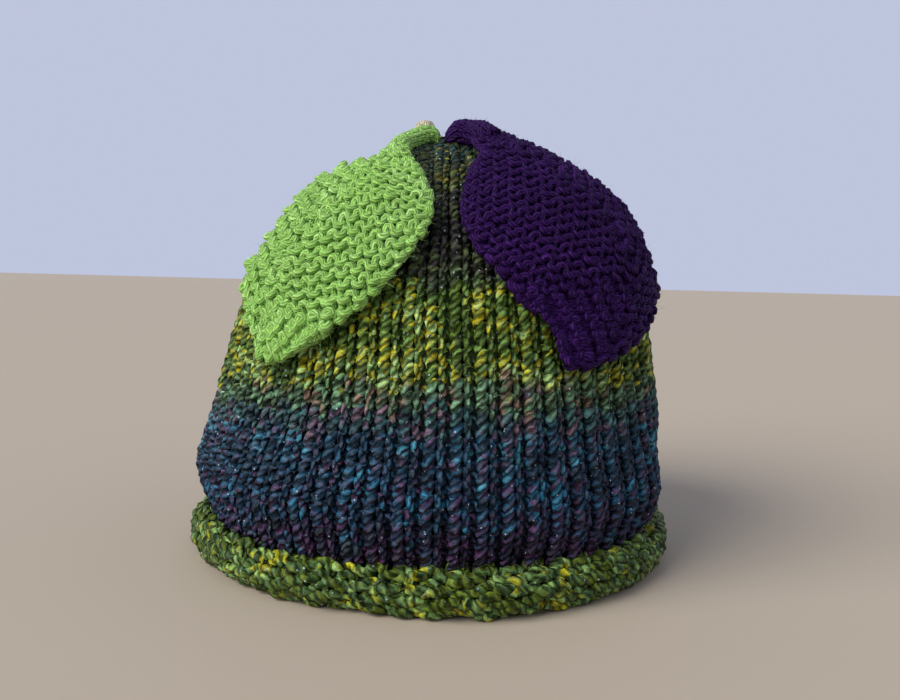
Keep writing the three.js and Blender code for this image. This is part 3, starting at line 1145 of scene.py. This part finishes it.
# ---- Leaves -------------------------------------------------------------------------------------
# Each edge by its turn and rise from the eye, left and right as seen from the front, then lifts.
GREEN_SECTIONS = np.array([
    (-246, 88.6, -97, 87.2, 0, 0),
    (-184, 85, -127, 85.2, 0, 0),
    (-149, 78.6, -124, 78.4, 0, 0),
    (-134, 70, -106, 66, 0, 0),
    (-133, 65, -97, 58, 0, 0.3),
    (-151, 62, -92, 48, 0, 0.8),
    (-163, 56, -93, 40, 0.2, 1.1),
    (-158, 49, -97, 34, 0.3, 0.9),
    (-155, 41, -103, 26, 0.3, 0.7),
    (-154, 34, -109, 20, 0.4, 0.5),
    (-156, 27, -115, 15, 0.8, 0.5),
    (-145, 18, -120, 12, 0.8, 0.6),
    (-138, 12, -125, 9, 0.9, 0.9),
    (-133, 7.5, -130, 7, 1.2, 1.2),
])
PURPLE_SECTIONS = np.array([
    (-54, 86.9, 47, 87.7, 0, 0),
    (-31, 83.2, 9, 83.8, 1.2, 2.6),
    (-62, 77, -8, 77.5, 1.0, 3.4),
    (-67, 68, -17, 73, 0.6, 3.4),
    (-78, 59, -17, 67, 0.4, 3.0),
    (-83, 51, -14, 58, 0.6, 3.0),
    (-84, 44, -13, 50, 0.9, 3.6),
    (-82, 38, -11, 42, 0.9, 3.4),
    (-79, 33, -11, 35, 0.8, 2.4),
    (-75, 29, -11, 28, 0.7, 1.8),
    (-71, 24, -12, 23, 0.6, 1.8),
    (-66, 20, -24, 18.5, 0.5, 1.0),
    (-64, 16, -33, 14, 0.6, 0.8),
    (-63, 12, -45, 10.5, 0.8, 0.8),
    (-61.5, 8.5, -56, 7.5, 1.1, 1.1),
])


def toward(turn: np.ndarray, rise: np.ndarray) -> np.ndarray:
    """Unit direction from the eye: its level part by cos and sin of the turn, then up by sin.

    Args:
        turn: degrees round the upright axis.
        rise: degrees above the level.

    Returns:
        The directions.
    """
    turn, rise = np.radians(turn), np.radians(rise)
    level = np.cos(rise)
    return np.stack([level * np.cos(turn), level * np.sin(turn), np.sin(rise)], axis=-1)


@dataclass
class Leaf:
    """A garter-stitch leaf on the dome, with the knitted cord that it hangs from."""

    name: str
    slot: str
    sections: np.ndarray
    dye: Dye
    seed: int
    # Its cloth's colour is darker than its yarn: painted shade in the gaps between stitches.
    back: tuple  # colour of its cloth
    clear: float = 0.7
    thick: float = 3.6
    yarn: Yarn = field(default_factory=lambda: Yarn(radius=1.08, twist=14.0, sides=7))
    stitch: Stitch = field(default_factory=lambda: Stitch(bulge=0.12, tall=2.3, deep=1.45))
    wide: float = 4.6
    rows_apart: float = 2.9
    row_height: float = 1.35  # share of the stitch's height in a level row
    turning: float = 1.5  # how round the rows' turn at the vein is
    settling: float = 3.0  # length by the vein over which the stitches fall in step
    calm: float = 2.6  # length at each end of a row over which its stitches flatten
    uneven: tuple = (0.35, 0.3, 0.06)  # wander of the height, the depth and the fullness
    starts: float = 2.2  # section where the blade starts
    first_row: float = 0.8  # rows from there to the first row
    tip: float = 1.0  # distance from the leaf's end where the blade ends
    beyond: float = 30.0  # how far past it a row may still cross the vein
    margin: float = 0.2  # nearest that a loop may come to either end
    samples: int = 240  # places where the leaf is measured
    vein: float = 0.42  # share across the leaf where its rows turn
    leans: tuple = (0.33, 1.0)  # how steeply the rows run back to the left and right edges
    cord: float = 1.9  # how far out of its middle the stalk's yarn runs
    cord_stitch: Stitch = field(default_factory=lambda: Stitch(bulge=0.2, tall=2.5, deep=0.7))
    cord_around: int = 6
    cord_rows_apart: float = 2.9
    cord_root: float = 0.4  # share of that where the stalk is sewn on
    cord_overlap: float = 0.5  # sections by which it runs on under the blade
    cord_start: float = 0.3
    seat: float = -0.4  # the stalk's middle above the leaf's
    sewn: float = 4.0  # length over which the stalk dips into the crown
    dip: float = 2.5

    def place(self, at: np.ndarray, share: np.ndarray, height: np.ndarray) -> np.ndarray:
        """Points of the leaf: between its two edges' directions, lifted off the dome.

        Args:
            at: how many sections from the crown.
            share: 0 at the left edge to 1 at the right one.
            height: above the middle of the leaf's thickness.

        Returns:
            Points, one for each.
        """
        keys = np.arange(len(self.sections), dtype=float)
        column = [curve_through(keys, self.sections[:, c].astype(float), at) for c in range(6)]
        left, right = toward(column[0], column[1]), toward(column[2], column[3])
        aim = unit(left * (1 - share)[:, None] + right * share[:, None])
        lift = column[4] * (1 - share) + column[5] * share
        reach = DOME.reach(aim) + self.clear + lift + self.thick / 2 + height
        return aim * reach[:, None] + EYE

    def line(self, at: np.ndarray, share: float, height: "float | np.ndarray" = 0.0) -> np.ndarray:
        """Points at one share of the way across the leaf."""
        return self.place(at, np.full(len(at), share), np.zeros(len(at)) + height)

    def lengths(self) -> tuple[np.ndarray, np.ndarray, np.ndarray]:
        """Along the leaf's middle: sections, distance from the crown, and the leaf's width.

        Returns:
            All three at each of the same places.
        """
        at = np.linspace(0, len(self.sections) - 1, self.samples)
        middle = self.line(at, 0.5)
        reaches = [np.linalg.norm(self.line(at, edge) - middle, axis=1) for edge in (0.0, 1.0)]
        return at, summed(steps_of(middle)), reaches[0] + reaches[1]

    def row(self, middle: float, start: float, end: float, distance: np.ndarray, width: np.ndarray
            ) -> "tuple | None":
        """The line of one row over the leaf laid flat: straight back both ways from the vein.

        Args:
            middle: the row's distance from the crown where it crosses the vein.
            start: distance where the blade starts.
            end: distance where it ends.
            distance: the leaf's distances from the crown.
            width: its width at each of them.

        Returns:
            Places across from the vein and along from the crown, or None if the row is too short
            to knit.
        """
        reach, places, fewest = 60, 1201, 60
        across = np.linspace(-reach, reach, places)
        lean = np.where(across < 0, *self.leans)
        along = middle - lean * (np.hypot(across, self.turning) - self.turning)
        wide = np.interp(along, distance, width) - 2 * self.yarn.radius
        longer = 1 if self.vein < 0.5 else -1
        inside = (along > start) & (along < end) & (across > -self.vein * wide)
        inside &= (middle < end) | (across * longer > 0)
        inside &= across < (1 - self.vein) * wide
        return (across[inside], along[inside]) if inside.sum() >= fewest else None

    def stitches(self, middle: float, from_vein: np.ndarray) -> np.ndarray:
        """Stitches counted along a row so that they stand over the last row's on both sides.

        Args:
            middle: the row's distance from the crown where it crosses the vein.
            from_vein: distance along the row from the vein.

        Returns:
            The stitch's number at each place, with its share.
        """
        left, right = (middle * lean / math.hypot(1, lean) / self.wide for lean in self.leans)
        turned = 0.5 + 0.5 * np.tanh(from_vein / self.settling)
        return from_vein / self.wide + left - ((left + right + 0.5) % 1 - 0.5) * turned

    def blade(self) -> Skin:
        """The leaf's yarn, worked to and fro: heads stand out of one row, feet out of the next.

        Returns:
            The yarn's skin.
        """
        random = np.random.default_rng(self.seed)
        rising, leaning, swelling = self.uneven
        at, distance, width = self.lengths()
        start = float(np.interp(self.starts, at, distance))
        end = float(distance[-1]) - self.tip
        parts: list = []
        for index in range(int((end + self.beyond - start) / self.rows_apart)):
            middle = start + (index + self.first_row) * self.rows_apart
            line = self.row(middle, start, end, distance, width)
            if line is None:
                continue
            across, along = line
            slope = np.gradient(along, across)
            run = summed(np.hypot(np.diff(across), np.diff(along)))
            stitches = self.stitches(middle, run - np.interp(0.0, across, run))
            count = max(2, round(float(stitches[-1] - stitches[0])))
            t = np.linspace(stitches[0], stitches[-1], count * self.stitch.steps + 1)
            share, up, out = self.stitch.shape(t, Face.HEADS if index % 2 else Face.FEET)
            here = np.interp(share, stitches, run)
            calm = np.clip(np.minimum(here, run[-1] - here) / self.calm, 0, 1)
            up = up * calm + wander(random, count, len(share), rising)
            out = out * calm + wander(random, count, len(share), leaning)
            slant = np.interp(here, run, slope)
            up = up * self.row_height / (1 + slant**2)
            u = np.interp(here, run, across) - up * slant
            v = np.interp(here, run, along) + up
            v = np.clip(v, self.margin, distance[-1] - self.margin)
            broad = np.interp(v, distance, width)
            edge = np.minimum(0.3, self.yarn.radius / broad)
            share = np.clip(self.vein + u / broad, edge, 1 - edge)
            fullness = 1 + wander(random, count, len(share), swelling)
            made = (np.interp(v, distance, at), share, out, fullness)
            parts.append(tuple(part[::-1] if index % 2 else part for part in made))
        where, share, out, fullness = (np.concatenate(column) for column in zip(*parts))
        points = self.place(where, share, out)
        return self.yarn.along(points, unit(points - EYE), fullness, False, self.dye)

    def stalk(self) -> Skin:
        """The knitted cord: stitches worked in a spiral round a line from crown to leaf.

        Returns:
            The yarn's skin.
        """
        at, distance, _ = self.lengths()
        end = float(np.interp(self.starts + self.cord_overlap, at, distance))
        turns = end / self.cord_rows_apart
        count = int(turns * self.cord_around)
        lap, up, out = self.cord_stitch.loops(count, 0.0, turns, Face.KNIT)
        along = np.clip(lap * self.cord_rows_apart + up, self.cord_start, end)
        where = np.interp(along, distance, at)
        free = np.clip(along / self.sewn, 0, 1)
        height = self.seat - self.dip * (1 - free) ** 2
        middle = self.line(where, 0.5, height)
        tangent = unit(self.line(where + 0.05, 0.5, height) - middle)
        rise = square_to(unit(middle - EYE), tangent)
        side = np.cross(tangent, rise)
        angle = 2 * np.pi * lap
        outward = np.cos(angle)[:, None] * rise + np.sin(angle)[:, None] * side
        cord = self.cord * (self.cord_root + (1 - self.cord_root) * np.sqrt(free))
        points = middle + outward * (cord + out)[:, None]
        return self.yarn.along(points, outward, np.ones(len(where)), False, self.dye)

    def cloth(self) -> Skin:
        """The middle of the leaf, a thin sheet between its stitches: painted shade in the gaps.

        Returns:
            The cloth's skin.
        """
        ats = np.linspace(self.starts, len(self.sections) - 1.1, 60)
        columns = 30
        share, at = (grid.ravel() for grid in np.meshgrid(np.linspace(0.05, 0.95, columns), ats))
        points = self.place(at, share, np.zeros(len(at)))
        return sheet_of(points, columns, linear(*self.back))

    def build(self, material: bpy.types.Material) -> list:
        """Makes the leaf: its cloth, and its knitting with its stalk.

        Args:
            material: its finish.

        Returns:
            The cloth and the knitting.
        """
        cloth = self.cloth().piece(f"{self.name}_cloth", material)
        knit = Skin.joined([self.blade(), self.stalk()]).piece(f"{self.name}_knit", material)
        return [cloth, knit]


@dataclass
class CrownKnot:
    """The small ball of wound cream yarn behind the stalks."""

    radius: float = 3.2
    upright: float = 1.3  # its height as a share of its width
    nudge: tuple = (-1.0, 0.0, 0.4)
    winds: int = 7
    thin: float = 0.5  # width of a wind's loop as a share of its length
    low: float = 0.86  # height of a wind's loop, in the same way
    yarn: Yarn = field(default_factory=lambda: Yarn(radius=1.0, twist=5.5))

    def build(self, material: bpy.types.Material) -> bpy.types.Object:
        """Winds loops whose plane turns slowly once round, about the node's middle.

        Args:
            material: its finish.

        Returns:
            The piece.
        """
        low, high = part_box("crown_knot")
        centre = (np.array(low) + np.array(high)) / 2 / METRES + self.nudge
        t = np.linspace(0, 1, 260)
        spin, turn = 2 * np.pi * self.winds * t, 2 * np.pi * t
        long, thin = np.cos(spin), self.thin * np.sin(spin)
        x = long * np.cos(turn) - thin * np.sin(turn)
        y = long * np.sin(turn) + thin * np.cos(turn)
        outward = np.stack([x, y, self.low * np.sin(spin)], axis=-1)
        path = centre + outward * self.radius * np.array([1.0, 1.0, self.upright])
        dye = EvenDye(SEED + 9, CREAM_BAND)
        skin = self.yarn.along(path, unit(outward), np.ones(len(path)), False, dye)
        return skin.piece("crown_knot_yarn", material)


# ---- Fuzz ---------------------------------------------------------------------------------------
@dataclass
class Fuzz:
    """Loose fibres that stand off a piece of knitting, each of one of its yarn's shades."""

    count: int
    longest: float
    seed: int
    shortest: float = 0.35  # as a share of the longest, before the power that makes most short
    mostly_short: float = 1.5
    thick: float = 0.1
    rooted: float = 0.3  # how deep in the yarn a hair starts
    pushes: tuple = (0.55, 0.75, 0.5)  # how far it goes outwards, sideways, and by its bend
    taper: float = 0.7
    lightest: float = 1.5  # its colour as a multiple of the yarn's
    lift: float = 0.015  # what is added to that
    lowest: float = 0.2
    joints: int = 3
    corners: int = 3

    def build(self, name: str, source: bpy.types.Object, material: bpy.types.Material
              ) -> bpy.types.Object:
        """Bent hairs from random places: root + length (outward s + sideways s + bend s^2).

        Args:
            name: the new piece's name.
            source: the knitting that the hairs leave.
            material: their finish.

        Returns:
            The new piece.
        """
        random = np.random.default_rng(self.seed)
        mesh = source.data
        total = len(mesh.vertices)
        points, normals = np.empty(total * 3), np.empty(total * 3)
        shades = np.empty((SHADES, total * 4))
        mesh.vertices.foreach_get("co", points)
        mesh.vertices.foreach_get("normal", normals)
        for number in range(SHADES):
            mesh.color_attributes[f"dye_{number + 1}"].data.foreach_get("color", shades[number])
        picked = random.integers(0, total, self.count)
        start = points.reshape(-1, 3)[picked] / METRES
        out = normals.reshape(-1, 3)[picked]
        chosen = random.integers(0, SHADES, self.count)
        colour = shades.reshape(SHADES, -1, 4)[chosen, picked, :3]
        lean = square_to(unit(random.normal(size=(self.count, 3))), out)
        share = random.uniform(self.shortest, 1.0, self.count)
        length = self.longest * share**self.mostly_short
        bend = unit(random.normal(size=(self.count, 3)))
        s = np.linspace(0, 1, self.joints)[None, :, None]
        outward, sideways, bent = self.pushes
        straight = outward * out + sideways * lean
        path = (start - self.rooted * out)[:, None] + length[:, None, None] * (
            straight[:, None] * s + bent * bend[:, None] * s**2
        )
        path[..., 2] = np.maximum(path[..., 2], self.lowest)
        side = unit(np.cross(out, lean))
        angle = (2 * np.pi * np.arange(self.corners) / self.corners)[None, :, None]
        ring = np.cos(angle) * side[:, None] + np.sin(angle) * out[:, None]
        width = self.thick / 2 * (1 - self.taper * s)
        verts = path[:, :, None] + width[..., None] * ring[:, None]
        hair = self.joints * self.corners
        base = np.arange(self.count)[:, None, None] * hair
        step = np.arange(self.joints - 1)[None, :, None] * self.corners
        corner = np.arange(self.corners)
        a, b = base + step + corner, base + step + (corner + 1) % self.corners
        faces = np.stack([a, b, b + self.corners, a + self.corners], axis=-1).reshape(-1, 4)
        colours = np.repeat(np.minimum(colour * self.lightest + self.lift, 1), hair, axis=0)
        return Skin.plain(verts.reshape(-1, 3), faces, colours).piece(name, material)


# ---- Studio -------------------------------------------------------------------------------------
@dataclass(frozen=True)
class Lamp:
    """A broad far light, as wide in degrees as a window or a wall looks, towards the cosy."""

    name: str
    spot: tuple
    wide: float
    strength: float
    rgb: tuple

    def build(self) -> None:
        """Makes the light as a soft sun."""
        data = bpy.data.lights.new(self.name, "SUN")
        data.angle = math.radians(self.wide)
        data.energy, data.color = self.strength, self.rgb
        made = bpy.data.objects.new(self.name, data)
        made.location = self.spot
        made.rotation_mode = "QUATERNION"
        made.rotation_quaternion = (-Vector(self.spot)).to_track_quat("-Z", "Y")
        bpy.context.scene.collection.objects.link(made)


@dataclass(frozen=True)
class Studio:
    """The camera, a pale floor and soft light."""

    spot: tuple = (0.0, -300.0, 101.0)
    down: float = 6.20
    yaw: float = 0.91
    roll: float = 1.52
    lens: float = 33.8
    floor: PaintFinish = PaintFinish("pale_floor", (180, 166, 146))
    floor_size: float = 6.0
    lamps: tuple = (Lamp("window", (-0.68, -0.46, 0.55), 44.0, 3.5, (1.0, 0.99, 0.97)),
                    Lamp("room", (0.8, -0.5, 0.5), 80.0, 0.3, (0.92, 0.95, 1.0)))
    air: tuple = (204, 212, 238)
    air_light: float = 0.6
    air_seen: float = 0.85

    def aim_camera(self) -> None:
        """Places the camera by its place and three angles in degrees."""
        down, yaw, roll = (math.radians(a) for a in (self.down, self.yaw, self.roll))
        level = math.cos(down)
        ahead = Vector((math.sin(yaw) * level, math.cos(yaw) * level, -math.sin(down)))
        right = Vector((math.cos(yaw), -math.sin(yaw), 0))
        up = right.cross(ahead)
        across = right * math.cos(roll) + up * math.sin(roll)
        top = up * math.cos(roll) - right * math.sin(roll)
        data = bpy.data.cameras.new("camera")
        data.lens = self.lens
        data.sensor_width = 36.0
        data.clip_start = 0.01
        made = bpy.data.objects.new("camera", data)
        bpy.context.scene.collection.objects.link(made)
        turn = Matrix((across, top, -ahead)).transposed().to_4x4()
        made.matrix_world = Matrix.Translation(Vector(self.spot) * METRES) @ turn
        bpy.context.scene.camera = made

    def lay_floor(self) -> None:
        """A pale floor under the cosy."""
        bpy.ops.mesh.primitive_plane_add(size=self.floor_size, location=(0, 0, 0))
        made = bpy.context.object
        made.name = "floor"
        made.data.materials.append(self.floor.material())

    def light_air(self) -> None:
        """The air's own even light, a little brighter where it is seen as the backdrop."""
        world = bpy.data.worlds.new("studio")
        world.use_nodes = True
        nodes, links = world.node_tree.nodes, world.node_tree.links
        back = nodes["Background"]
        back.inputs["Color"].default_value = (*linear(*self.air), 1)
        path = nodes.new("ShaderNodeLightPath")
        strength = nodes.new("ShaderNodeMapRange")
        strength.inputs["To Min"].default_value = self.air_light
        strength.inputs["To Max"].default_value = self.air_seen
        links.new(path.outputs["Is Camera Ray"], strength.inputs["Value"])
        links.new(strength.outputs["Result"], back.inputs["Strength"])
        bpy.context.scene.world = world
        bpy.context.scene.view_settings.view_transform = "Standard"

    def build(self) -> None:
        """Sets up the camera, the floor, the lamps and the air's own light."""
        self.aim_camera()
        self.lay_floor()
        for lamp in self.lamps:
            lamp.build()
        self.light_air()


# ---- The whole cosy -----------------------------------------------------------------------------
YARN = WoolFinish("variegated_wool", glints=0.004)
# Fine even wool, with little painted shade in its grooves.
SOFT = {"plies": FINE_PLIES, "groove_shade": 0.3, "tones": 0.12, "wander": 0.1}  # fine even wool
GREEN_WOOL = WoolFinish("green_wool", relief=0.0002, sheen=0.1, gloss=0.06, **SOFT)
PURPLE_WOOL = WoolFinish("purple_wool", relief=0.0003, gloss=0.08, **SOFT)
CREAM_WOOL = WoolFinish("cream_wool", relief=0.0003, sheen=0.05, gloss=0.06, **SOFT)
BODY_HAIRS, LEAF_HAIRS = (2800, 3.6), (6000, 4.4)  # how many, and the longest


def dress(pieces: list, node: str) -> None:
    """Lets pieces ride on the root and stand for a node, whose part is hidden, and reports each.
    """
    for piece in pieces:
        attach(piece, "root")
        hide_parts(node)
        LOG.info("%s: %d faces, for %s", piece.name, len(piece.data.polygons), node)


def make_body() -> None:
    """The dome, the hem and the cloth behind them."""
    wool = YARN.material()
    knit = KnittedBody().build(wool)
    hem = RolledHem().build(wool)
    cloth = GapShadeCloth().build(wool)
    fuzz = []
    for number, piece in enumerate([*knit, hem]):
        hairs = Fuzz(*BODY_HAIRS, SEED + 20 + number)
        fuzz.append(hairs.build(f"{piece.name}_fuzz", piece, wool))
    dress([*knit, hem, cloth, *fuzz], "body")


def make_leaf(leaf: Leaf, finish: WoolFinish) -> None:
    """A leaf with its stalk.

    Args:
        leaf: the leaf.
        finish: its wool.
    """
    material = finish.material()
    sheet, stitches = leaf.build(material)
    loose = []
    hairs = Fuzz(*LEAF_HAIRS, leaf.seed + 40)
    loose.append(hairs.build(f"{leaf.name}_fuzz", stitches, material))
    dress([sheet, stitches, *loose], leaf.name)


def main() -> None:
    """Builds the studio and the cosy's pieces in order."""
    logging.basicConfig(level=logging.INFO, format="%(message)s")
    Studio().build()
    make_body()
    green = Leaf("green_leaf", "green_yarn", GREEN_SECTIONS, EvenDye(SEED + 4, GREEN_BAND),
                 SEED + 5, GREEN_GAP_SHADE)
    make_leaf(green, GREEN_WOOL)
    purple = Leaf("purple_leaf", "purple_yarn", PURPLE_SECTIONS, EvenDye(SEED + 6, PURPLE_BAND),
                  SEED + 7, PURPLE_GAP_SHADE, vein=0.64, leans=(0.9, 0.9), cord=3.1, seat=-0.3)
    make_leaf(purple, PURPLE_WOOL)
    knot = CrownKnot().build(CREAM_WOOL.material())
    dress([knot], "crown_knot")


if __name__ == "__main__":
    main()
